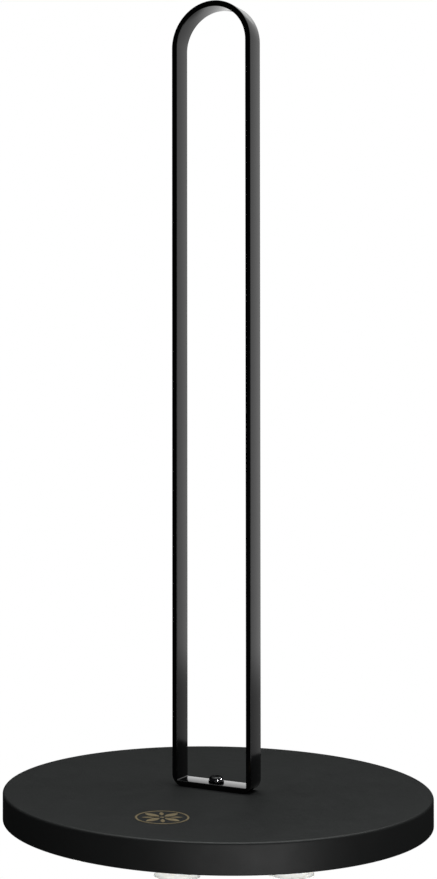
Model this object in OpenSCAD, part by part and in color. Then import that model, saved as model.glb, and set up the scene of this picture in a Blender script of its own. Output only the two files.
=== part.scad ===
// Paper towel holder: a tall closed loop of flat steel bar, bolted upright to a round weighted board.
// Millimetres, +Z up. The origin is the centre of the circle on which the feet stand.
// The loop's width lies along X, and the front, with its mark, faces -Y.

/* [Base] */
// Diameter of the round board
base_d = 170; // [150:1:200]
// Thickness of the board
base_t = 11.5; // [10.5:0.5:18]
// Rounding of the board's top rim
rim_r = 1.0; // [0.6:0.1:2]
// Rounding of the board's bottom rim
bottom_rim_r = 0.5; // [0.3:0.1:0.6]

/* [Loop] */
// Width of the loop over its outer faces
loop_w = 34.8; // [30:0.1:38]
// Height of the loop above the board
loop_h = 314; // [290:1:340]
// Width of the flat bar, front to back
bar_w = 9.4; // [8:0.1:14]
// Thickness of the flat bar
bar_t = 2.3; // [2:0.1:3]
// Radius outside the two corners at the foot of the loop, welded and ground round
corner_r = 4.8; // [3:0.1:5]
// Radius inside those two corners
corner_inner_r = 0.6; // [0.3:0.1:1.5]

/* [Clamp screw] */
// Diameter of the screw's thread
screw_d = 3; // [3:0.5:4]
// Length of the screw's shank under its head
screw_l = 11; // [8:1:12]
// Diameter of the button head
head_d = 5.8; // [5.6:0.1:7.6]
// Height of the button head
head_h = 1.8; // [1.6:0.1:2.2]
// Hexagon socket, across flats
socket_af = 2; // [2:0.1:2.5]
// Outer diameter of the split spring washer
washer_d = 6.2; // [6:0.1:8]
// Thickness of the split spring washer
washer_t = 0.8; // [0.6:0.1:1.2]
// Gap in the split spring washer
washer_gap = 0.7; // [0.4:0.1:1]
// Diameter of the threaded insert
insert_d = 6.5; // [6:0.5:8]
// Length of the threaded insert
insert_l = 9; // [7:0.5:9]

/* [Ballast] */
// Outer diameter of the ballast ring let into the board's underside
ballast_d = 92; // [70:1:92]
// Bore of the ballast ring, round the solid middle of the board
ballast_bore_d = 34; // [24:1:40]
// Thickness of the ballast ring
ballast_t = 6; // [3:0.5:6]
// Number of countersunk screws in the ballast ring
ballast_screw_count = 3; // [3:1:6]
// Head diameter of a ballast screw
ballast_head_d = 7; // [6:0.5:8]
// Shank diameter of a ballast screw
ballast_shank_d = 3.5; // [3:0.5:4]
// Length of a ballast screw over all
ballast_screw_l = 9.5; // [8.5:0.5:10]

/* [Feet] */
// Radius of the circle on which the feet stand
foot_ring_r = 55; // [55:0.5:70]
// Turn of the first foot from the front of the base, in degrees
foot_clock = 11; // [0:1:44]
// Diameter of a foot over its lip
foot_d = 17; // [14:0.5:18]
// Height of a foot below the board
foot_h = 9.5; // [8.5:0.5:12]
// Diameter of a foot's stud, pressed up into the board
stud_d = 5.8; // [5:0.1:6.5]
// Length of a foot's stud
stud_l = 6; // [4:0.5:7]

/* [Mark] */
// Diameter of the foil mark
mark_d = 20; // [16:0.5:24]
// Distance of the mark from the middle of the base
mark_y = 54; // [35:0.5:66]
// Turn of the mark round the base from the front, in degrees
mark_turn = 4.5; // [-20:0.5:20]
// Turn of the rosette about the middle of the mark, in degrees
rosette_turn = 26; // [0:1:89]
// Thickness of the foil
mark_t = 0.1; // [0.05:0.05:0.3]

/* [Hidden] */
$fn = 96;

foot_count = 8;

base_r = base_d / 2;
board_z = foot_h;
top_z = board_z + base_t;
web_z = top_z + bar_t;
head_z = web_z + washer_t;
arc_r = loop_w / 2;
foot_r = foot_d / 2;

screw_clearance = 0.5;
thread_play = 0.1;
stud_play = 0.2;
overshoot = 1;
socket_depth = 1.1;
washer_slant = 20;

// Board: a disc with eased rims, drilled for the insert and the feet, grooved for the ballast.
module board_profile() {
    square([base_r - rim_r, base_t]);
    square([base_r - bottom_rim_r, base_t / 2]);
    translate([0, bottom_rim_r]) square([base_r, base_t - rim_r - bottom_rim_r]);
    translate([base_r - rim_r, base_t - rim_r]) circle(r = rim_r);
    translate([base_r - bottom_rim_r, bottom_rim_r]) circle(r = bottom_rim_r);
}

module base_disc() {
    color("#2e3130")
    difference() {
        translate([0, 0, board_z]) rotate_extrude() board_profile();
        translate([0, 0, top_z - insert_l]) cylinder(d = insert_d, h = insert_l + overshoot);
        translate([0, 0, board_z - overshoot])
            cylinder(d = screw_d + screw_clearance, h = base_t);
        translate([0, 0, board_z - overshoot]) ballast_blank(ballast_t + overshoot);
        for (i = [0 : foot_count - 1])
            at_foot(i)
                translate([0, 0, board_z - overshoot])
                    cylinder(d = stud_d + stud_play, h = stud_l + 2 * overshoot);
        at_ballast_screws()
            translate([0, 0, board_z]) cylinder(d = ballast_shank_d, h = ballast_screw_l);
    }
}

// Ballast: a steel ring flush with the underside, held by countersunk wood screws.
module ballast_blank(height) {
    difference() {
        cylinder(d = ballast_d, h = height);
        translate([0, 0, -overshoot]) cylinder(d = ballast_bore_d, h = height + 2 * overshoot);
    }
}

module at_ballast_screws() {
    for (i = [0 : ballast_screw_count - 1])
        rotate(90 + i * 360 / ballast_screw_count)
            translate([(ballast_d + ballast_bore_d) / 4, 0, 0])
                children();
}

module ballast_screw_shape() {
    cylinder(d1 = ballast_head_d, d2 = ballast_shank_d, h = (ballast_head_d - ballast_shank_d) / 2);
    cylinder(d = ballast_shank_d, h = ballast_screw_l);
}

module ballast_ring() {
    color("silver")
    difference() {
        translate([0, 0, board_z]) ballast_blank(ballast_t);
        at_ballast_screws() translate([0, 0, board_z]) ballast_screw_shape();
    }
}

module ballast_screws() {
    recess_w = 0.9;
    recess_l = 3.8;
    recess_h = 1.2;
    color("gold")
    at_ballast_screws()
        translate([0, 0, board_z])
            difference() {
                ballast_screw_shape();
                for (turn = [0, 90])
                    rotate(turn)
                        translate([-recess_l / 2, -recess_w / 2, -overshoot])
                            cube([recess_l, recess_w, overshoot + recess_h]);
            }
}

// Loop: one closed bar, half round above, with a flat web on the board between two tight corners.
module loop_outline(inset, low_r) {
    half_w = arc_r - inset;
    low_h = inset + low_r;
    translate([0, loop_h - arc_r]) circle(r = half_w);
    translate([-half_w, low_h]) square([2 * half_w, loop_h - arc_r - low_h]);
    translate([low_r - half_w, inset]) square([2 * (half_w - low_r), 2 * low_r]);
    for (side = [-1, 1])
        translate([side * (half_w - low_r), low_h]) circle(r = low_r);
}

module loop() {
    color("#101011")
    difference() {
        translate([0, bar_w / 2, top_z])
            rotate([90, 0, 0])
                linear_extrude(height = bar_w)
                    difference() {
                        loop_outline(0, corner_r);
                        loop_outline(bar_t, corner_inner_r);
                    }
        translate([0, 0, top_z - overshoot])
            cylinder(d = screw_d + screw_clearance, h = bar_t + 2 * overshoot);
    }
}

// Clamp screw: button head over the web, shank down into the insert.
module head_profile() {
    dome_r = (head_d * head_d / 4 + head_h * head_h) / (2 * head_h);
    intersection() {
        translate([0, head_h - dome_r]) circle(r = dome_r);
        square([head_d / 2, head_h - 0.1]);
    }
}

module clamp_screw() {
    color("#0c0c0d")
    difference() {
        union() {
            translate([0, 0, head_z]) rotate_extrude() head_profile();
            translate([0, 0, head_z - screw_l]) cylinder(d = screw_d, h = screw_l);
        }
        translate([0, 0, head_z + head_h - socket_depth])
            cylinder(d = socket_af / cos(30), h = socket_depth + overshoot, $fn = 6);
    }
}

module lock_washer() {
    color("#0c0c0d")
    difference() {
        translate([0, 0, web_z]) cylinder(d = washer_d, h = washer_t);
        translate([0, 0, web_z - overshoot])
            cylinder(d = screw_d + screw_clearance, h = washer_t + 2 * overshoot);
        translate([0, -washer_d / 2, web_z + washer_t / 2])
            rotate([0, washer_slant, 0])
                cube([washer_gap, washer_d, 4 * washer_t], center = true);
    }
}

// Insert: brass bush with two knurled bands, flush with the top of the board under the web.
module threaded_insert() {
    waist_d = insert_d - 0.8;
    waist_h = 1.4;
    color("goldenrod")
    difference() {
        translate([0, 0, top_z - insert_l]) cylinder(d = insert_d, h = insert_l);
        translate([0, 0, top_z - insert_l - overshoot])
            cylinder(d = screw_d + thread_play, h = insert_l + 2 * overshoot);
        translate([0, 0, top_z - (insert_l + waist_h) / 2])
            difference() {
                cylinder(d = insert_d + overshoot, h = waist_h);
                cylinder(d = waist_d, h = waist_h);
            }
    }
}

// Mark: a generic rosette of long and short petals in a thin ring, in foil on the board.
module petal(inner_r, outer_r, width) {
    half_l = (outer_r - inner_r) / 2;
    arc = (half_l * half_l + width * width / 4) / width;
    translate([inner_r + half_l, 0])
        intersection() {
            translate([0, arc - width / 2]) circle(r = arc);
            translate([0, width / 2 - arc]) circle(r = arc);
        }
}

module mark_foil() {
    ring_w = 0.7;
    mark_r = mark_d / 2;
    color("#a89a6c")
    rotate(mark_turn) translate([0, -mark_y, top_z]) rotate(rosette_turn) {
        difference() {
            cylinder(d = mark_d, h = mark_t);
            translate([0, 0, -overshoot]) cylinder(d = mark_d - 2 * ring_w, h = mark_t + 2 * overshoot);
        }
        cylinder(r = 0.08 * mark_r, h = mark_t);
        for (turn = [0 : 90 : 270]) {
            rotate(turn + 45)
                linear_extrude(height = mark_t) petal(0.14 * mark_r, 0.86 * mark_r, 0.3 * mark_r);
            rotate(turn)
                linear_extrude(height = mark_t) petal(0.3 * mark_r, 0.76 * mark_r, 0.16 * mark_r);
        }
    }
}

// Feet: silicone suction cups with a neck, a shoulder against the board and a stud in it.
module at_foot(i) {
    rotate(-90 + foot_clock + i * 360 / foot_count)
        translate([foot_ring_r, 0, 0])
            children();
}

module foot_profile() {
    bell_h = 0.56 * foot_h;
    lip_t = 0.7;
    hollow_h = 2.6;
    hollow_rim = foot_r - lip_t;
    neck_d = 7;
    shoulder_d = 11;
    shoulder_t = 1.8;
    bell_r = (foot_r * foot_r + bell_h * bell_h) / (2 * bell_h);
    hollow_r = (hollow_rim * hollow_rim + hollow_h * hollow_h) / (2 * hollow_h);
    difference() {
        union() {
            intersection() {
                translate([0, bell_h - bell_r]) circle(r = bell_r);
                square([foot_r, bell_h]);
            }
            translate([0, bell_h / 2]) square([neck_d / 2, foot_h - bell_h / 2]);
            translate([0, foot_h - shoulder_t]) square([shoulder_d / 2, shoulder_t]);
            translate([0, foot_h - shoulder_t]) square([stud_d / 2, shoulder_t + stud_l]);
        }
        translate([0, hollow_h - hollow_r]) circle(r = hollow_r);
    }
}

module foot(i) {
    color("#e6e6e2") at_foot(i) rotate_extrude() foot_profile();
}

base_disc();
ballast_ring();
ballast_screws();
loop();
clamp_screw();
lock_washer();
threaded_insert();
mark_foil();
foot(0);  // foot_1
foot(1);  // foot_2
foot(2);  // foot_3
foot(3);  // foot_4
foot(4);  // foot_5
foot(5);  // foot_6
foot(6);  // foot_7
foot(7);  // foot_8
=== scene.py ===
"""Looks of the paper towel holder: materials, detailed pieces, camera and studio, on the CAD frame.

Metres, in the CAD part's own frame: +Z up, the loop's width along X, the marked front towards -Y.
"""

import math

import bmesh
import bpy
from mathutils import Matrix, Vector


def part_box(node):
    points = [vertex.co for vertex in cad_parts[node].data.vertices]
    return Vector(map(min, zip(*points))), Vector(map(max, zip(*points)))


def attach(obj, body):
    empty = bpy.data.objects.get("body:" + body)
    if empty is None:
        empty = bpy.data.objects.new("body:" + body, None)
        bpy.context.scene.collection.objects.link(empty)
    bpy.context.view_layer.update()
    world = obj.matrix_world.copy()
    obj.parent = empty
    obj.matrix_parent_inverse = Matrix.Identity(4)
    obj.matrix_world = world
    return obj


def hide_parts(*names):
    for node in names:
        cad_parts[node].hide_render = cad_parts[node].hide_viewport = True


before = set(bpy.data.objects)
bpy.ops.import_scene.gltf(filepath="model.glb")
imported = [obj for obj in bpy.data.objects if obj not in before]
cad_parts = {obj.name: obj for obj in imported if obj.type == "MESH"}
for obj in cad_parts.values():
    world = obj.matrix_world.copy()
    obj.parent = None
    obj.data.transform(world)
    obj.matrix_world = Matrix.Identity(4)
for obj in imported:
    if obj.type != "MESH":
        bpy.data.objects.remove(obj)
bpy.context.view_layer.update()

MM = 0.001
SCENE = bpy.context.scene
FULL_TURN = 2 * math.pi
SAME_POINT = 1e-7


# ---------------------------------------------------------------- places taken from the frame


def middle(node):
    low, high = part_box(node)
    return (low + high) / 2


BOARD_LOW, BOARD_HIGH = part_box("base_disc")
LOOP_LOW, LOOP_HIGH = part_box("loop")
SCREW_LOW, SCREW_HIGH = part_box("clamp_screw")
WASHER_LOW, WASHER_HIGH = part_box("lock_washer")
INSERT_LOW, INSERT_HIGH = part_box("threaded_insert")
RING_LOW, RING_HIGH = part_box("ballast_ring")
WOOD_SCREWS_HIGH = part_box("ballast_screws")[1]
FEET = sorted(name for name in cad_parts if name.startswith("foot_"))

FLOOR_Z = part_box(FEET[0])[0].z
UNDER_Z = BOARD_LOW.z
TOP_Z = BOARD_HIGH.z
BOARD_R = BOARD_HIGH.x
HALF_W = LOOP_HIGH.x
BAR_W = LOOP_HIGH.y - LOOP_LOW.y
BAR_T = WASHER_LOW.z - TOP_Z
WEB_Z = WASHER_LOW.z
HEAD_Z = WASHER_HIGH.z

# Sizes that the boxes of the CAD nodes don't show
CORNER_R = 4.8 * MM
CORNER_INNER_R = 0.35 * MM
BAR_EDGE_R = 0.28 * MM
BOARD_TOP_EDGE_R = 1.0 * MM
BOARD_LOW_EDGE_R = 0.5 * MM
SCREW_R = 1.5 * MM
CLEARANCE_R = 1.75 * MM
BORE_R = 17 * MM
WOOD_SCREW_R = 1.75 * MM
WOOD_HEAD_R = 3.5 * MM
WOOD_SCREW_RING_R = 31.5 * MM
WOOD_SCREW_COUNT = 3
STUD_HOLE_R = 3.0 * MM
STUD_HOLE_DEPTH = 7 * MM
FINE_PITCH = 0.5 * MM

# Pieces that some lights pick out by name
LOOP_PIECE = "bent_loop"
SCREW_PIECE = "button_screw"
WASHER_PIECE = "spring_washer"
FOOT_PIECES = ["suction_" + name for name in FEET]


# ---------------------------------------------------------------- mesh helpers


def new_object(name, mesh):
    piece = bpy.data.objects.new(name, mesh)
    SCENE.collection.objects.link(piece)
    return piece


def dress(piece, material, slot, *nodes):
    """Gives a new piece its material and body, and hides the CAD nodes it stands for. The slot is
    not used.
    """
    piece.data.materials.clear()
    piece.data.materials.append(material)
    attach(piece, "root")
    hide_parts(*nodes)


def skin(name, rings, looped=False, capped=False, crease=35):
    """A mesh through rings of points, where a ring of one point is a pole.

    Looped joins the last ring to the first, and capped closes both ends with a face.
    """
    vertices = []
    faces = []
    starts = []
    for ring in rings:
        starts.append(len(vertices))
        vertices.extend(ring)
    pairs = [(k, k + 1) for k in range(len(rings) - 1)]
    if looped:
        pairs.append((len(rings) - 1, 0))
    for first, second in pairs:
        a, b = starts[first], starts[second]
        count = max(len(rings[first]), len(rings[second]))
        for i in range(count):
            j = (i + 1) % count
            if len(rings[first]) == 1:
                faces.append((a, b + j, b + i))
            elif len(rings[second]) == 1:
                faces.append((a + i, a + j, b))
            else:
                faces.append((a + i, a + j, b + j, b + i))
    if capped:
        faces.append(tuple(range(starts[0], starts[0] + len(rings[0])))[::-1])
        faces.append(tuple(range(starts[-1], starts[-1] + len(rings[-1]))))
    mesh = bpy.data.meshes.new(name)
    mesh.from_pydata([tuple(v) for v in vertices], [], faces)
    piece = new_object(name, mesh)
    finish_mesh(piece, crease)
    return piece


def finish_mesh(piece, crease):
    """Outward normals, smooth faces, and sharp edges where faces turn by over crease degrees."""
    work = bmesh.new()
    work.from_mesh(piece.data)
    bmesh.ops.remove_doubles(work, verts=work.verts, dist=SAME_POINT)
    bmesh.ops.recalc_face_normals(work, faces=work.faces)
    for face in work.faces:
        face.smooth = True
    work.to_mesh(piece.data)
    work.free()
    piece.data.set_sharp_from_angle(angle=math.radians(crease))


def ring_points(radius, z, count, centre=(0, 0)):
    """A ring of points round the Z axis. The radius is a number, or a function of the angle."""
    points = []
    for i in range(count):
        angle = FULL_TURN * i / count
        r = radius(angle) if callable(radius) else radius
        x = centre[0] + r * math.cos(angle)
        y = centre[1] + r * math.sin(angle)
        points.append(Vector((x, y, z)))
    return points


def rounded(corners, steps, closed=False):
    """An outline through (x, y, radius) corners, each rounded by an arc of its radius."""
    points = []
    last = len(corners) - 1
    for i, (x, y, radius) in enumerate(corners):
        here = Vector((x, y))
        if radius == 0 or (i in (0, last) and not closed):
            points.append(here)
            continue
        back = (Vector(corners[i - 1][:2]) - here).normalized()
        ahead = (Vector(corners[(i + 1) % len(corners)][:2]) - here).normalized()
        half = back.angle(ahead) / 2
        centre = here + (back + ahead).normalized() * (radius / math.sin(half))
        start = here + back * (radius / math.tan(half)) - centre
        turn = (math.pi - 2 * half) * (1 if back.cross(ahead) < 0 else -1)
        for k in range(steps + 1):
            points.append(centre + start @ Matrix.Rotation(-turn * k / steps, 2))
    return points


def lathe(name, outline, count, looped=False, centre=(0, 0), crease=35):
    """Turns an outline of (radius, z) points round the Z axis. A radius of 0 makes a pole."""
    rings = []
    for r, z in outline:
        pole = [Vector((centre[0], centre[1], z))]
        rings.append(pole if r < SAME_POINT else ring_points(r, z, count, centre))
    return skin(name, rings, looped=looped, crease=crease)


def cut(piece, cutters, crease):
    """Cuts the cutters out of the piece, for good."""
    for cutter in cutters:
        modifier = piece.modifiers.new("cut", "BOOLEAN")
        modifier.operation = "DIFFERENCE"
        modifier.solver = "EXACT"
        modifier.object = cutter
    bpy.context.view_layer.update()
    evaluated = piece.evaluated_get(bpy.context.evaluated_depsgraph_get())
    mesh = bpy.data.meshes.new_from_object(evaluated)
    piece.modifiers.clear()
    piece.data = mesh
    for cutter in cutters:
        bpy.data.objects.remove(cutter)
    finish_mesh(piece, crease)


def drill(radius, low, high, centre=(0, 0)):
    """A plain cylinder to cut with."""
    outline = [(0, low), (radius, low), (radius, high), (0, high)]
    return lathe("drill", outline, count=48, centre=centre)


def thread(major, minor, pitch):
    """The radius of a right-hand thread at an angle and a height.

    The flat is the share of the pitch that is level at the crest, and again at the root.
    """
    flat = 0.15

    def radius(angle, z):
        phase = (z / pitch - angle / FULL_TURN) % 1
        flank = min(1, max(0, (abs(2 * phase - 1) - flat) / (1 - 2 * flat)))
        return major - (major - minor) * flank

    return radius


def hexagon(across_flats):
    """The radius of a hexagon at an angle."""

    def radius(angle):
        return across_flats / 2 / math.cos((angle % (math.pi / 3)) - math.pi / 6)

    return radius


def cross(reach, arm):
    """The radius of a cross with blunt arms at an angle."""

    def radius(angle):
        off_axis = (angle + math.pi / 4) % (math.pi / 2) - math.pi / 4
        return min(reach, arm / 2 / max(abs(math.sin(off_axis)), 1e-6))

    return radius


# ---------------------------------------------------------------- material helpers


class Nodes:
    """A material's node tree with short calls for what every material here uses."""

    def __init__(self, name, stretch=(1, 1, 1)):
        self.material = bpy.data.materials.new(name)
        self.material.use_nodes = True
        self.tree = self.material.node_tree
        self.shader = self.tree.nodes["Principled BSDF"]
        self.stretch(*stretch)

    def stretch(self, x, y, z):
        """Textures made from here on are squeezed by these factors along the axes."""
        place = self.add("ShaderNodeTexCoord")
        mapping = self.add("ShaderNodeMapping")
        mapping.inputs["Scale"].default_value = (x, y, z)
        self.link(place.outputs["Object"], mapping.inputs["Vector"])
        self.place = mapping.outputs["Vector"]

    def add(self, kind):
        return self.tree.nodes.new(kind)

    def link(self, source, target):
        self.tree.links.new(source, target)

    def set(self, **values):
        """Constants on the shader's own sockets."""
        for key, value in values.items():
            self.shader.inputs[key.replace("_", " ")].default_value = value

    def noise(self, size, detail=2.0, roughness=0.5):
        """Noise whose features are about size metres across."""
        node = self.add("ShaderNodeTexNoise")
        node.inputs["Scale"].default_value = 1 / size
        node.inputs["Detail"].default_value = detail
        node.inputs["Roughness"].default_value = roughness
        self.link(self.place, node.inputs["Vector"])
        return node.outputs["Fac"]

    def spread(self, value, low, high, start=0.3, end=0.7):
        """The value, from start to end, as a number from low to high."""
        node = self.add("ShaderNodeMapRange")
        node.inputs["From Min"].default_value = start
        node.inputs["From Max"].default_value = end
        node.inputs["To Min"].default_value = low
        node.inputs["To Max"].default_value = high
        self.link(value, node.inputs["Value"])
        return node.outputs["Result"]

    def blend(self, share, first, second):
        """The first colour where the share is 0 and the second where it is 1."""
        node = self.add("ShaderNodeMix")
        node.data_type = "RGBA"
        self.link(share, node.inputs["Factor"])
        for socket, colour in (("A", first), ("B", second)):
            target = next(s for s in node.inputs if s.name == socket and s.type == "RGBA")
            if isinstance(colour, tuple):
                target.default_value = colour
            else:
                self.link(colour, target)
        return next(s for s in node.outputs if s.type == "RGBA")

    def maths(self, operation, first, second):
        node = self.add("ShaderNodeMath")
        node.operation = operation
        for socket, value in zip(node.inputs, (first, second)):
            if isinstance(value, (int, float)):
                socket.default_value = value
            else:
                self.link(value, socket)
        return node.outputs["Value"]

    def bump(self, height, strength, distance, under=None):
        node = self.add("ShaderNodeBump")
        node.inputs["Strength"].default_value = strength
        node.inputs["Distance"].default_value = distance
        self.link(height, node.inputs["Height"])
        if under is not None:
            self.link(under, node.inputs["Normal"])
        return node.outputs["Normal"]

    def into(self, socket, value):
        """Links a value into one of the shader's sockets."""
        self.link(value, self.shader.inputs[socket])


def rgb(hex_code):
    """An sRGB hex colour as linear RGBA."""
    parts = [int(hex_code[i : i + 2], 16) / 255 for i in (1, 3, 5)]
    linear = [c / 12.92 if c <= 0.04045 else ((c + 0.055) / 1.055) ** 2.4 for c in parts]
    return (*linear, 1.0)


# ---------------------------------------------------------------- camera


def make_camera():
    """A camera to the front right of the loop and somewhat over the board, almost level."""
    data = bpy.data.cameras.new("camera")
    data.sensor_fit = "AUTO"
    data.sensor_width = 36.0
    data.lens = 65.33
    data.shift_x = 0.129
    data.shift_y = -0.033
    data.clip_start = 0.01
    data.clip_end = 50.0
    camera = bpy.data.objects.new("camera", data)
    SCENE.collection.objects.link(camera)
    turn = math.radians(30.08)
    tilt = math.radians(0.75)
    side, back, height = -0.04432, -0.63794, 0.14213
    camera.location = (
        side * math.cos(turn) - back * math.sin(turn),
        side * math.sin(turn) + back * math.cos(turn),
        TOP_Z + height,
    )
    camera.rotation_euler = (math.pi / 2 + tilt, 0.0, turn)
    SCENE.camera = camera


make_camera()


# ---------------------------------------------------------------- materials


def black_powder_coat():
    """Gloss black coat over rolled bar, with the bar's long lines, soft smears and fine grain."""
    coat = Nodes("black_powder_coat", stretch=(0.02, 1, 0.02))
    coat.set(IOR=1.5)
    rolled = coat.noise(0.7 * MM, 3, 0.6)
    coat.into("Base Color", coat.blend(coat.spread(rolled, 0, 1), rgb("#060607"), rgb("#0d0d0e")))
    lines = coat.spread(rolled, 0.05, 0.10)
    coat.stretch(1, 1, 1)
    smear = coat.spread(coat.noise(18 * MM, 4, 0.6), 0.0, 0.05)
    coat.into("Roughness", coat.maths("ADD", smear, lines))
    wave = coat.bump(rolled, 0.35, 0.02 * MM)
    coat.into("Normal", coat.bump(coat.noise(0.9 * MM, 2), 0.10, 0.01 * MM, wave))
    return coat.material


def blackened_steel():
    """Glossy black oxide on small turned parts."""
    black = Nodes("blackened_steel")
    black.set(IOR=1.5)
    tone = black.spread(black.noise(1.5 * MM, 3), 0, 1)
    black.into("Base Color", black.blend(tone, rgb("#040405"), rgb("#0b0b0c")))
    black.into("Roughness", black.spread(black.noise(0.4 * MM, 3), 0.08, 0.16))
    black.into("Normal", black.bump(black.noise(0.25 * MM, 2), 0.15, 0.01 * MM))
    return black.material


def board_paint():
    """Matt near-black sprayed paint over board: a fine sprayed texture and faint drifts of tone."""
    paint = Nodes("board_paint")
    paint.set(IOR=1.5)
    drift = paint.spread(paint.noise(45 * MM, 3, 0.55), 0, 1)
    body = paint.blend(drift, rgb("#292a2a"), rgb("#2c2d2d"))
    speck = paint.spread(paint.noise(0.35 * MM, 2), 0, 1, 0.35, 0.75)
    paint.into("Base Color", paint.blend(speck, body, rgb("#2f3030")))
    paint.into("Roughness", paint.spread(paint.noise(6 * MM, 4, 0.6), 0.42, 0.48))
    orange_peel = paint.bump(paint.noise(1.1 * MM, 2), 0.12, 0.03 * MM)
    paint.into("Normal", paint.bump(paint.noise(0.28 * MM, 3, 0.6), 0.2, 0.02 * MM, orange_peel))
    return paint.material


def silicone():
    """Cloudy pale silicone with a soft bloom of dust."""
    rubber = Nodes("silicone")
    rubber.set(IOR=1.41, Transmission_Weight=0.25, Subsurface_Weight=0.35)
    rubber.set(Subsurface_Scale=2.5 * MM, Subsurface_Radius=(1.0, 0.9, 0.8))
    cloud = rubber.spread(rubber.noise(5 * MM, 3), 0, 1)
    rubber.into("Base Color", rubber.blend(cloud, rgb("#efefec"), rgb("#e3e3de")))
    rubber.into("Roughness", rubber.spread(rubber.noise(1.2 * MM, 3), 0.32, 0.5))
    rubber.into("Normal", rubber.bump(rubber.noise(0.6 * MM, 2), 0.1, 0.02 * MM))
    return rubber.material


def plated_steel(name, base, tint, ringed):
    """Zinc-plated steel: crystals in the plating, or where ringed, turning marks 1 mm apart."""
    zinc = Nodes(name)
    zinc.set(Metallic=1.0)
    spangle = zinc.spread(zinc.noise(2.2 * MM, 4, 0.6), 0, 1)
    zinc.into("Base Color", zinc.blend(spangle, base, tint))
    zinc.into("Roughness", zinc.spread(zinc.noise(0.7 * MM, 3), 0.26, 0.42))
    height = zinc.noise(0.4 * MM, 2)
    if ringed:
        turned = zinc.add("ShaderNodeTexWave")
        turned.wave_type = "RINGS"
        turned.rings_direction = "Z"
        turned.inputs["Scale"].default_value = 1 / (3.2 * MM)
        turned.inputs["Distortion"].default_value = 0.6
        turned.inputs["Detail"].default_value = 2.0
        zinc.link(zinc.place, turned.inputs["Vector"])
        height = turned.outputs["Fac"]
    zinc.into("Normal", zinc.bump(height, 0.25, 0.02 * MM))
    return zinc.material


def insert_brass():
    """Turned brass with darker stains."""
    brass = Nodes("insert_brass")
    brass.set(Metallic=1.0)
    stain = brass.spread(brass.noise(1.8 * MM, 4), 0, 1)
    brass.into("Base Color", brass.blend(stain, rgb("#d9b566"), rgb("#a9803c")))
    brass.into("Roughness", brass.spread(brass.noise(0.5 * MM, 3), 0.25, 0.45))
    brass.into("Normal", brass.bump(brass.noise(0.2 * MM, 2), 0.15, 0.01 * MM))
    return brass.material


def gold_foil():
    """Hot-pressed pale gold foil, satin, with the paint's fine texture and small missing specks."""
    foil = Nodes("gold_foil")
    tone = foil.spread(foil.noise(3 * MM, 4, 0.65), 0, 1)
    gold = foil.blend(tone, rgb("#e6d3ae"), rgb("#c9b38a"))
    worn = foil.spread(foil.noise(0.3 * MM, 3, 0.7), 0, 1, 0.62, 0.7)
    foil.into("Base Color", foil.blend(worn, gold, rgb("#5a5242")))
    foil.into("Metallic", foil.spread(worn, 0.85, 0.2, 0, 1))
    foil.into("Roughness", foil.spread(foil.noise(0.6 * MM, 3), 0.35, 0.5))
    foil.into("Normal", foil.bump(foil.noise(0.28 * MM, 3, 0.6), 0.2, 0.02 * MM))
    return foil.material


BLACK_COAT = black_powder_coat()
BLACK_STEEL = blackened_steel()
BOARD_PAINT = board_paint()
SILICONE = silicone()
RING_ZINC = plated_steel("turned_zinc", rgb("#c4c4c2"), rgb("#a3a5a8"), ringed=True)
SCREW_ZINC = plated_steel("yellow_zinc", rgb("#cdbb86"), rgb("#a89a78"), ringed=False)
BRASS = insert_brass()
FOIL = gold_foil()


# ---------------------------------------------------------------- the board


def wood_screw_places():
    """Evenly spaced round the ballast ring, the first of them at the back."""
    back = math.pi / 2
    angles = [back + FULL_TURN * k / WOOD_SCREW_COUNT for k in range(WOOD_SCREW_COUNT)]
    return [Vector((math.cos(a), math.sin(a))) * WOOD_SCREW_RING_R for a in angles]


def make_board():
    """A turned disc with eased rims, a groove for the ballast ring, and drilled holes.

    Two extra rings on the flat top keep its faces short.
    """
    groove_z = RING_HIGH.z
    groove_r = RING_HIGH.x
    pocket_r = INSERT_HIGH.x
    ease = 0.3 * MM
    outline = rounded(
        [
            (CLEARANCE_R, UNDER_Z, 0),
            (BORE_R, UNDER_Z, ease),
            (BORE_R, groove_z, 0),
            (groove_r, groove_z, 0),
            (groove_r, UNDER_Z, ease),
            (BOARD_R, UNDER_Z, BOARD_LOW_EDGE_R),
            (BOARD_R, TOP_Z, BOARD_TOP_EDGE_R),
            (0.6 * BOARD_R, TOP_Z, 0),
            (0.3 * BOARD_R, TOP_Z, 0),
            (pocket_r, TOP_Z, 0),
            (pocket_r, INSERT_LOW.z, 0),
            (CLEARANCE_R, INSERT_LOW.z, 0),
        ],
        steps=8,
        closed=True,
    )
    board = lathe("board", outline, count=256, looped=True, crease=40)
    holes = []
    for name in FEET:
        place = middle(name)
        holes.append(drill(STUD_HOLE_R, UNDER_Z - MM, UNDER_Z + STUD_HOLE_DEPTH, place.xy))
    for place in wood_screw_places():
        holes.append(drill(WOOD_SCREW_R, groove_z - MM, WOOD_SCREWS_HIGH.z, place))
    cut(board, holes, crease=40)
    dress(board, BOARD_PAINT, "board_paint", "base_disc")


make_board()


# ---------------------------------------------------------------- the loop


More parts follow.
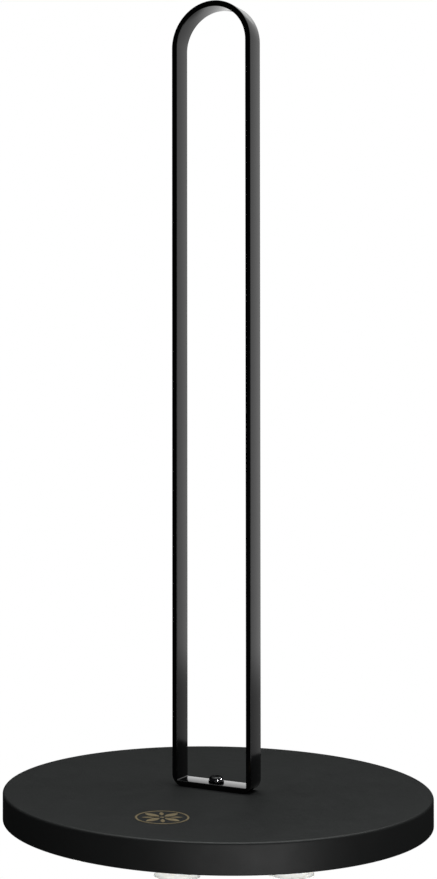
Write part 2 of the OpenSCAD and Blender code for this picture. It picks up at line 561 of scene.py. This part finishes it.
def loop_outline(inset, corner_r):
    """Points once round the loop in its own plane, moved in from the outside by inset."""
    arch_steps, leg_steps, corner_steps, web_steps = 120, 36, 10, 12
    half = HALF_W - inset
    arch_z = LOOP_HIGH.z - HALF_W
    low_z = LOOP_LOW.z + inset
    bend_z = low_z + corner_r
    points = []
    for k in range(arch_steps):
        angle = math.pi * k / arch_steps
        points.append((half * math.cos(angle), arch_z + half * math.sin(angle)))
    for k in range(leg_steps):
        points.append((-half, arch_z + (bend_z - arch_z) * k / leg_steps))
    for k in range(corner_steps):
        angle = math.pi * (1 + k / corner_steps / 2)
        x = -half + corner_r + corner_r * math.cos(angle)
        points.append((x, bend_z + corner_r * math.sin(angle)))
    for k in range(web_steps):
        points.append(((half - corner_r) * (2 * k / web_steps - 1), low_z))
    for k in range(corner_steps):
        angle = math.pi * (1.5 + k / corner_steps / 2)
        x = half - corner_r + corner_r * math.cos(angle)
        points.append((x, bend_z + corner_r * math.sin(angle)))
    for k in range(leg_steps):
        points.append((half, bend_z + (arch_z - bend_z) * k / leg_steps))
    return points


def make_loop():
    """One closed bar with rounded edges: each ring of points runs once round the loop.

    The rings go round the bar's section: outside to the front, outside to the back, inside to
    the back and inside to the front.
    """
    edge_steps = 4
    turns = [math.pi / 2 * k / edge_steps for k in range(edge_steps + 1)]
    edges = [
        (turns, False, -1),
        (turns[::-1], False, 1),
        (turns, True, 1),
        (turns[::-1], True, -1),
    ]
    rings = []
    for edge_turns, inside, side in edges:
        for t in edge_turns:
            depth = BAR_EDGE_R * (1 - math.sin(t))
            y = side * (BAR_W / 2 - BAR_EDGE_R * (1 - math.cos(t)))
            inset = BAR_T - depth if inside else depth
            corner_r = CORNER_INNER_R + depth if inside else CORNER_R - depth
            rings.append([Vector((x, y, z)) for x, z in loop_outline(inset, corner_r)])
    loop = skin(LOOP_PIECE, rings, looped=True, crease=30)
    cut(loop, [drill(CLEARANCE_R, TOP_Z - MM, WEB_Z + MM)], crease=30)
    dress(loop, BLACK_COAT, "black_powder_coat", "loop")


make_loop()


# ---------------------------------------------------------------- the screw, washer and insert


def make_clamp_screw():
    """Button head with a hexagon socket over a threaded shank, in one skin."""
    count = 96
    pitch = FINE_PITCH
    steps_per_pitch = 8
    head_r = SCREW_HIGH.x
    head_h = SCREW_HIGH.z - HEAD_Z
    rim_h = 0.25 * head_h
    ease = 0.12 * MM
    mouth_r = 1.45 * MM
    dome_steps = 12
    dome_power = 2.2
    socket = hexagon(2 * MM)
    socket_z = SCREW_HIGH.z - 1.1 * MM
    drill_tip_h = 0.25 * MM
    profile = thread(SCREW_R, SCREW_R - 0.3 * MM, pitch)
    tip_share = 0.72
    tip_z = SCREW_LOW.z
    runout_z = HEAD_Z - pitch

    def at(radius, z):
        return ring_points(radius, z, count)

    rings = [[Vector((0, 0, tip_z))], at(0.6 * SCREW_R, tip_z)]
    rows = int((runout_z - tip_z) / pitch * steps_per_pitch)
    for k in range(1, rows):
        z = tip_z + (runout_z - tip_z) * k / rows
        size = tip_share + (1 - tip_share) * min(1, (z - tip_z) / pitch)
        rings.append(at(lambda a: profile(a, z) * size, z))
    rings.append(at(SCREW_R - 0.15 * MM, runout_z))
    rings.append(at(SCREW_R, HEAD_Z - 0.2 * pitch))
    rings.append(at(SCREW_R, HEAD_Z))
    rings.append(at(head_r - ease, HEAD_Z))
    rings.append(at(head_r, HEAD_Z + ease))
    rings.append(at(head_r, HEAD_Z + rim_h))
    for k in range(1, dome_steps + 1):
        share = k / dome_steps
        r = head_r - (head_r - mouth_r) * share
        z = HEAD_Z + rim_h + (head_h - rim_h) * math.sqrt(1 - (1 - share) ** dome_power)
        rings.append(at(r, z))
    rings.append(at(lambda a: 1.06 * socket(a), SCREW_HIGH.z))
    rings.append(at(socket, SCREW_HIGH.z - ease))
    rings.append(at(socket, socket_z))
    rings.append([Vector((0, 0, socket_z - drill_tip_h))])
    screw = skin(SCREW_PIECE, rings, crease=38)
    dress(screw, BLACK_STEEL, "blackened_steel", "clamp_screw")


def make_lock_washer():
    """Split spring washer: a rounded square section carried round to a slanted gap."""
    steps = 96
    outer_r = WASHER_HIGH.x
    inner_r = CLEARANCE_R
    gap = 0.7 * MM
    slant = math.tan(math.radians(20))
    mid_r = (outer_r + inner_r) / 2
    mid_z = (WASHER_LOW.z + WASHER_HIGH.z) / 2
    ease = 0.12 * MM
    section = rounded(
        [
            (inner_r, WASHER_LOW.z, ease),
            (outer_r, WASHER_LOW.z, ease),
            (outer_r, WASHER_HIGH.z, ease),
            (inner_r, WASHER_HIGH.z, ease),
        ],
        steps=3,
        closed=True,
    )
    start = math.radians(-90) + gap / 2 / mid_r
    sweep = FULL_TURN - gap / mid_r
    rings = []
    for k in range(steps + 1):
        ring = []
        for r, z in section:
            angle = start + sweep * k / steps + (z - mid_z) * slant / mid_r
            ring.append(Vector((r * math.cos(angle), r * math.sin(angle), z)))
        rings.append(ring)
    washer = skin(WASHER_PIECE, rings, capped=True, crease=40)
    dress(washer, BLACK_STEEL, "blackened_steel", "lock_washer")


def make_insert():
    """Brass bush with two straight-knurled bands, a groove between them and a threaded bore."""
    count = 144
    teeth = 24
    outer_r = INSERT_HIGH.x
    length = INSERT_HIGH.z - INSERT_LOW.z
    groove_h = 1.4 * MM
    groove_r = outer_r - 0.4 * MM
    tooth_h = 0.22 * MM
    chamfer = 0.3 * MM
    mouth_r = SCREW_R + 0.35 * MM
    pitch = FINE_PITCH
    steps_per_pitch = 6
    bore = thread(SCREW_R + 0.1 * MM, SCREW_R - 0.17 * MM, pitch)

    def knurl(angle):
        return outer_r - tooth_h * abs(2 * ((angle * teeth / FULL_TURN) % 1) - 1)

    def at(radius, z):
        return ring_points(radius, z, count)

    low, high = INSERT_LOW.z, INSERT_HIGH.z
    centre = (low + high) / 2
    rings = [at(groove_r, low), at(knurl, low + chamfer)]
    rings.append(at(knurl, centre - groove_h / 2 - chamfer))
    rings.append(at(groove_r, centre - groove_h / 2))
    rings.append(at(groove_r, centre + groove_h / 2))
    rings.append(at(knurl, centre + groove_h / 2 + chamfer))
    rings.append(at(knurl, high - chamfer))
    rings.append(at(groove_r, high))
    rings.append(at(mouth_r, high))
    rows = int(length / pitch * steps_per_pitch)
    for k in range(1, rows):
        z = high - chamfer + (low + chamfer - high + chamfer) * k / rows
        rings.append(at(lambda a: bore(a, z), z))
    rings.append(at(mouth_r, low))
    insert = skin("knurled_insert", rings, looped=True, crease=30)
    dress(insert, BRASS, "insert_brass", "threaded_insert")


make_clamp_screw()
make_lock_washer()
make_insert()


# ---------------------------------------------------------------- the ballast and its screws


def make_ballast():
    """Turned steel ring with broken edges, a hair smaller than its groove, with countersinks."""
    gap = 0.12 * MM
    ease = 0.4 * MM
    outline = rounded(
        [
            (BORE_R + gap, RING_LOW.z, ease),
            (RING_HIGH.x - gap, RING_LOW.z, ease),
            (RING_HIGH.x - gap, RING_HIGH.z, ease),
            (BORE_R + gap, RING_HIGH.z, ease),
        ],
        steps=3,
        closed=True,
    )
    ring = lathe("steel_ballast", outline, count=192, looped=True, crease=30)
    sink_h = WOOD_HEAD_R - WOOD_SCREW_R
    cutters = []
    for place in wood_screw_places():
        sink = [
            (0, RING_LOW.z - MM),
            (WOOD_HEAD_R + gap, RING_LOW.z - MM),
            (WOOD_HEAD_R + gap, RING_LOW.z),
            (WOOD_SCREW_R + gap, RING_LOW.z + sink_h),
            (WOOD_SCREW_R + gap, RING_HIGH.z + MM),
            (0, RING_HIGH.z + MM),
        ]
        cutters.append(lathe("sink", sink, count=64, centre=place))
    cut(ring, cutters, crease=30)
    dress(ring, RING_ZINC, "plated_steel", "ballast_ring")


def make_wood_screw(name, place):
    """Countersunk wood screw, point up, with a cross recess in its head."""
    count = 64
    pitch = 1.3 * MM
    steps_per_pitch = 12
    low = RING_LOW.z
    high = WOOD_SCREWS_HIGH.z
    face_z = low + 0.02 * MM
    neck_z = low + WOOD_HEAD_R - WOOD_SCREW_R
    thread_z = neck_z + 0.6 * MM
    point_z = high - 2.4 * MM
    point_share = 0.12
    profile = thread(WOOD_SCREW_R - 0.05 * MM, 0.68 * WOOD_SCREW_R, pitch)
    recess = cross(1.9 * MM, 0.9 * MM)

    def at(radius, z):
        return ring_points(radius, z, count, place)

    rings = [[Vector((place[0], place[1], low + 1.5 * MM))]]
    rings.append(at(lambda a: 0.55 * recess(a), low + 1.1 * MM))
    rings.append(at(recess, low + 0.1 * MM))
    rings.append(at(lambda a: 1.04 * recess(a), face_z))
    rings.append(at(WOOD_HEAD_R - 0.15 * MM, face_z))
    rings.append(at(WOOD_HEAD_R, low + 0.15 * MM))
    rings.append(at(WOOD_SCREW_R, neck_z))
    rings.append(at(0.72 * WOOD_SCREW_R, neck_z + 0.5 * MM))
    rows = int((high - thread_z) / pitch * steps_per_pitch)
    for k in range(rows):
        z = thread_z + (high - 0.3 * MM - thread_z) * k / rows
        taper = 1 - max(0, z - point_z) / (high - point_z)
        rings.append(at(lambda a: profile(a, z) * max(point_share, taper), z))
    rings.append([Vector((place[0], place[1], high))])
    return skin(name, rings, crease=35)


def make_wood_screws():
    for k, place in enumerate(wood_screw_places(), 1):
        screw = make_wood_screw(f"wood_screw_{k}", place)
        dress(screw, SCREW_ZINC, "plated_steel", "ballast_screws")


make_ballast()
make_wood_screws()


# ---------------------------------------------------------------- the feet


def make_foot(node, name):
    """Moulded suction foot: cup with a beaded lip, waist, shoulder, and a barbed stud above."""
    place = middle(node)
    low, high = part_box(node)
    lip_r = (high.x - low.x) / 2
    stud_z = high.z
    hollow_h = 2.5 * MM
    hollow_r = lip_r - 0.8 * MM
    hollow_power = 2.2
    hollow_steps = 8
    hollow = [(0, FLOOR_Z + hollow_h, 0)]
    for k in range(1, hollow_steps):
        share = k / hollow_steps
        hollow.append((hollow_r * share, FLOOR_Z + hollow_h * (1 - share**hollow_power), 0))
    bell_low_r = lip_r - 0.25 * MM
    bell_top_r = 3.7 * MM
    bell_low_z = FLOOR_Z + 0.9 * MM
    bell_z = FLOOR_Z + 5.3 * MM
    bell_steps = 8
    bell = []
    for k in range(bell_steps + 1):
        share = k / bell_steps
        r = bell_low_r - (bell_low_r - bell_top_r) * share
        bell.append((r, bell_low_z + (bell_z - bell_low_z) * math.sin(share * math.pi / 2), 0))
    waist_r = 3.5 * MM
    collar_r = 5.5 * MM
    stud_r = 2.9 * MM
    neck_r = 2.3 * MM
    barb_r = 2.8 * MM
    tip_r = 1.6 * MM
    outline = rounded(
        hollow
        + [
            (lip_r - 0.7 * MM, FLOOR_Z, 0.15 * MM),
            (lip_r, FLOOR_Z, 0.3 * MM),
            (lip_r, FLOOR_Z + 0.8 * MM, 0.2 * MM),
        ]
        + bell
        + [
            (waist_r, bell_z + 0.4 * MM, 0),
            (waist_r, UNDER_Z - 1.9 * MM, 0.4 * MM),
            (collar_r, UNDER_Z - 1.7 * MM, 0.35 * MM),
            (collar_r, UNDER_Z, 0.1 * MM),
            (stud_r, UNDER_Z, 0),
            (stud_r, UNDER_Z + 1.0 * MM, 0),
            (neck_r, UNDER_Z + 1.2 * MM, 0),
            (neck_r, UNDER_Z + 2.2 * MM, 0),
            (stud_r, UNDER_Z + 2.6 * MM, 0.2 * MM),
            (neck_r, UNDER_Z + 4.0 * MM, 0.2 * MM),
            (barb_r, UNDER_Z + 4.4 * MM, 0.2 * MM),
            (tip_r, stud_z, 0.3 * MM),
            (0, stud_z, 0),
        ],
        steps=3,
    )
    foot = lathe(name, outline, count=72, centre=place.xy, crease=40)
    dress(foot, SILICONE, "silicone", node)


for foot_node, foot_piece in zip(FEET, FOOT_PIECES):
    make_foot(foot_node, foot_piece)


# ---------------------------------------------------------------- CAD nodes that stay

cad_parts["mark_foil"].data.materials.clear()
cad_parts["mark_foil"].data.materials.append(FOIL)


# ---------------------------------------------------------------- studio

LIT_PLACE = Vector((0, 0, TOP_Z))
WHITE = (1, 1, 1)
COOL = (0.965, 1.0, 0.985)


def glow_nodes(material):
    """An empty node tree with an emission node, and the output node."""
    material.use_nodes = True
    tree = material.node_tree
    tree.nodes.clear()
    glow = tree.nodes.new("ShaderNodeEmission")
    out = tree.nodes.new("ShaderNodeOutputMaterial")
    return tree, glow, out


def seen_directly(tree):
    """1 for rays from the camera and through clear things, otherwise 0."""
    path = tree.nodes.new("ShaderNodeLightPath")
    seen = tree.nodes.new("ShaderNodeMath")
    seen.operation = "MAXIMUM"
    tree.links.new(path.outputs["Is Camera Ray"], seen.inputs[0])
    tree.links.new(path.outputs["Is Transmission Ray"], seen.inputs[1])
    return seen.outputs[0]


def stepped(tree, value, start, end, low, high):
    """The value, from start to end, as a number that goes softly from low to high."""
    node = tree.nodes.new("ShaderNodeMapRange")
    node.interpolation_type = "SMOOTHSTEP"
    node.inputs["From Min"].default_value = start
    node.inputs["From Max"].default_value = end
    node.inputs["To Min"].default_value = low
    node.inputs["To Max"].default_value = high
    tree.links.new(value, node.inputs["Value"])
    return node.outputs["Result"]


def times(tree, first, second):
    node = tree.nodes.new("ShaderNodeMath")
    node.operation = "MULTIPLY"
    tree.links.new(first, node.inputs[0])
    tree.links.new(second, node.inputs[1])
    return node.outputs[0]


def make_world():
    """White behind everything, and almost no light of its own."""
    light = 0.01
    world = bpy.data.worlds.new("studio")
    world.use_nodes = True
    SCENE.world = world
    tree = world.node_tree
    background = tree.nodes["Background"]
    background.inputs["Color"].default_value = (1, 1, 1, 1)
    level = stepped(tree, seen_directly(tree), 0, 1, light, 1.0)
    tree.links.new(level, background.inputs["Strength"])


def distance_out(tree):
    """How far from the Z axis a point of a stage object is."""
    place = tree.nodes.new("ShaderNodeTexCoord")
    flat = tree.nodes.new("ShaderNodeVectorMath")
    flat.operation = "MULTIPLY"
    flat.inputs[1].default_value = (1, 1, 0)
    reach = tree.nodes.new("ShaderNodeVectorMath")
    reach.operation = "LENGTH"
    tree.links.new(place.outputs["Object"], flat.inputs[0])
    tree.links.new(flat.outputs[0], reach.inputs[0])
    return reach.outputs["Value"]


def make_floor():
    """A white floor, seen only from above, that sends some light up to the board's underside."""
    half = 6.0
    light = 0.6
    solid_r, clear_r = 0.8 * BOARD_R, 1.1 * BOARD_R
    corners = [(-half, -half), (half, -half), (half, half), (-half, half)]
    mesh = bpy.data.meshes.new("floor")
    mesh.from_pydata([(x, y, FLOOR_Z) for x, y in corners], [], [(0, 1, 2, 3)])
    floor = new_object("floor", mesh)
    material = bpy.data.materials.new("pale_floor")
    tree, glow, out = glow_nodes(material)
    clear = tree.nodes.new("ShaderNodeBsdfTransparent")
    side = tree.nodes.new("ShaderNodeNewGeometry")
    mix = tree.nodes.new("ShaderNodeMixShader")
    level = stepped(tree, seen_directly(tree), 0, 1, light, 1.0)
    tree.links.new(level, glow.inputs["Strength"])
    solid = tree.nodes.new("ShaderNodeMath")
    solid.operation = "MAXIMUM"
    under_board = stepped(tree, distance_out(tree), solid_r, clear_r, 1, 0)
    tree.links.new(under_board, solid.inputs[0])
    tree.links.new(seen_directly(tree), solid.inputs[1])
    front = stepped(tree, side.outputs["Backfacing"], 0, 1, 1, 0)
    tree.links.new(times(tree, solid.outputs[0], front), mix.inputs["Fac"])
    tree.links.new(clear.outputs[0], mix.inputs[1])
    tree.links.new(glow.outputs[0], mix.inputs[2])
    tree.links.new(mix.outputs[0], out.inputs["Surface"])
    mesh.materials.append(material)
    floor.visible_shadow = False


def light_only(light, pieces):
    """Makes a light shine on the named pieces and nothing else."""
    group = bpy.data.collections.new(light.name + "_lights")
    for piece in pieces:
        group.objects.link(bpy.data.objects[piece])
    light.light_linking.receiver_collection = group


def make_backdrop(pieces):
    """White paper along the table behind the object and up a wall, for glossy pieces to mirror.

    It is dim next to the board, which shades it, a little dimmer to the right than straight
    behind and high up than low down, and almost dark in the mirror image of a mirror image.
    """
    wall_r, bend_r, wall_h = 2.0, 0.5, 2.0
    bend_steps, turn_steps = 8, 48
    shade_r, clear_r, shade_level = 0.34, 0.58, 0.36
    dim_z, top_z, top_level = 0.45, 1.0, 0.85
    right_turn, back_turn = math.radians(66), math.radians(112)
    right_level, back_level = 0.80, 1.1
    again_level = 0.05
    table_z = FLOOR_Z + 2 * MM
    profile = [(1.2 * BOARD_R, table_z), (wall_r - bend_r, table_z)]
    for k in range(1, bend_steps + 1):
        angle = math.pi / 2 * k / bend_steps
        out = wall_r - bend_r + bend_r * math.sin(angle)
        profile.append((out, table_z + bend_r * (1 - math.cos(angle))))
    profile.append((wall_r, table_z + wall_h))
    first, last = math.radians(-25), math.radians(165)
    soft_end = math.radians(25)
    rows = []
    for k in range(turn_steps + 1):
        angle = first + (last - first) * k / turn_steps
        rows.append([(r * math.cos(angle), r * math.sin(angle), z) for r, z in profile])
    count = len(profile)
    faces = []
    for k in range(turn_steps):
        for i in range(count - 1):
            a = k * count + i
            faces.append((a, a + 1, a + 1 + count, a + count))
    mesh = bpy.data.meshes.new("backdrop")
    mesh.from_pydata([point for row in rows for point in row], [], faces)
    backdrop = new_object("backdrop", mesh)
    material = bpy.data.materials.new("backdrop_paper")
    tree, glow, out = glow_nodes(material)
    place = tree.nodes.new("ShaderNodeTexCoord")
    split = tree.nodes.new("ShaderNodeSeparateXYZ")
    tree.links.new(place.outputs["Object"], split.inputs[0])
    heading = tree.nodes.new("ShaderNodeMath")
    heading.operation = "ARCTAN2"
    tree.links.new(split.outputs["Y"], heading.inputs[0])
    tree.links.new(split.outputs["X"], heading.inputs[1])
    near = stepped(tree, distance_out(tree), shade_r, clear_r, shade_level, 1.0)
    high = stepped(tree, split.outputs["Z"], dim_z, top_z, 1.0, top_level)
    turned = heading.outputs[0]
    right = stepped(tree, turned, right_turn, back_turn, right_level, back_level)
    start = stepped(tree, turned, first, first + soft_end, 0.0, 1.0)
    end = stepped(tree, turned, last - soft_end, last, 1.0, 0.0)
    path = tree.nodes.new("ShaderNodeLightPath")
    once = stepped(tree, path.outputs["Glossy Depth"], 1, 2, 1.0, again_level)
    level = times(tree, times(tree, near, high), times(tree, right, times(tree, start, end)))
    level = times(tree, level, once)
    tree.links.new(level, glow.inputs["Strength"])
    clear = tree.nodes.new("ShaderNodeBsdfTransparent")
    both = tree.nodes.new("ShaderNodeAddShader")
    tree.links.new(glow.outputs[0], both.inputs[0])
    tree.links.new(clear.outputs[0], both.inputs[1])
    tree.links.new(both.outputs[0], out.inputs["Surface"])
    mesh.materials.append(material)
    backdrop.visible_camera = False
    backdrop.visible_shadow = False
    light_only(backdrop, pieces)


def make_card(name, heading, height, width, tall, radiance, colour=WHITE, pieces=None):
    """A soft rectangular light: the heading and height of its middle, and its angles across and up.

    All four are in degrees, and the heading turns anticlockwise from +X. The radiance is what a
    mirror turned to the card would show. Where pieces are named, the card lights only those.
    """
    distance = 2.0
    data = bpy.data.lights.new(name, "AREA")
    data.shape = "RECTANGLE"
    data.size = 2 * distance * math.tan(math.radians(width / 2))
    data.size_y = 2 * distance * math.tan(math.radians(tall / 2))
    data.energy = radiance * math.pi * data.size * data.size_y
    data.color = colour
    light = bpy.data.objects.new(name, data)
    SCENE.collection.objects.link(light)
    turn, rise = math.radians(heading), math.radians(height)
    level = math.cos(rise)
    away = Vector((math.cos(turn) * level, math.sin(turn) * level, math.sin(rise)))
    light.location = LIT_PLACE + away * distance
    light.rotation_euler = away.to_track_quat("Z", "Y").to_euler()
    light.visible_camera = False
    if pieces:
        light_only(light, pieces)


make_world()
make_floor()
make_backdrop([LOOP_PIECE, WASHER_PIECE])

# Each card's name, heading, height, width, tall and radiance
TOP_CARDS = [
    ("overhead", 0, 89.9, 30, 30, 3.0),
    ("soft_back", 116, 60, 50, 50, 0.52),
    ("soft_right", 26, 65, 30, 30, 1.6),
    ("soft_left", 206, 65, 30, 30, 1.0),
]
SIDE_CARDS = [
    ("key", -42, -15, 12, 30, 2.8),
    ("key_left", -66, -10, 24, 36, 1.0),
    ("key_right", -26, -8, 12, 44, 1.4),
]
FOOT_CARDS = [
    ("foot_fill", -64, -8, 70, 30, 6.0),
    ("foot_left", -144, -8, 60, 40, 4.6),
    ("foot_right", 16, -8, 60, 40, 4.6),
]
SPARKS = [
    ("spark", 29, 15, 7, 7, 700.0),
    ("spark_low", -40, 4, 7, 7, 700.0),
    ("spark_rim", 48, 47, 8, 8, 20.0),
]

# The board's top and rim are lit from above, and by one card that the loop doesn't mirror
for card in TOP_CARDS:
    make_card(*card, COOL)
rim_pieces = ["board", "mark_foil", SCREW_PIECE, WASHER_PIECE, *FOOT_PIECES]
make_card("main", 80, 50, 10, 10, 3.6, COOL, rim_pieces)

# The board's side is lit from below its level, and so are the feet in its shade
for card in SIDE_CARDS:
    make_card(*card)
for card in FOOT_CARDS:
    make_card(*card, pieces=FOOT_PIECES)

# The head of the clamp screw mirrors small bright lights as points
for card in SPARKS:
    make_card(*card, pieces=[SCREW_PIECE])

SCENE.view_settings.view_transform = "Standard"
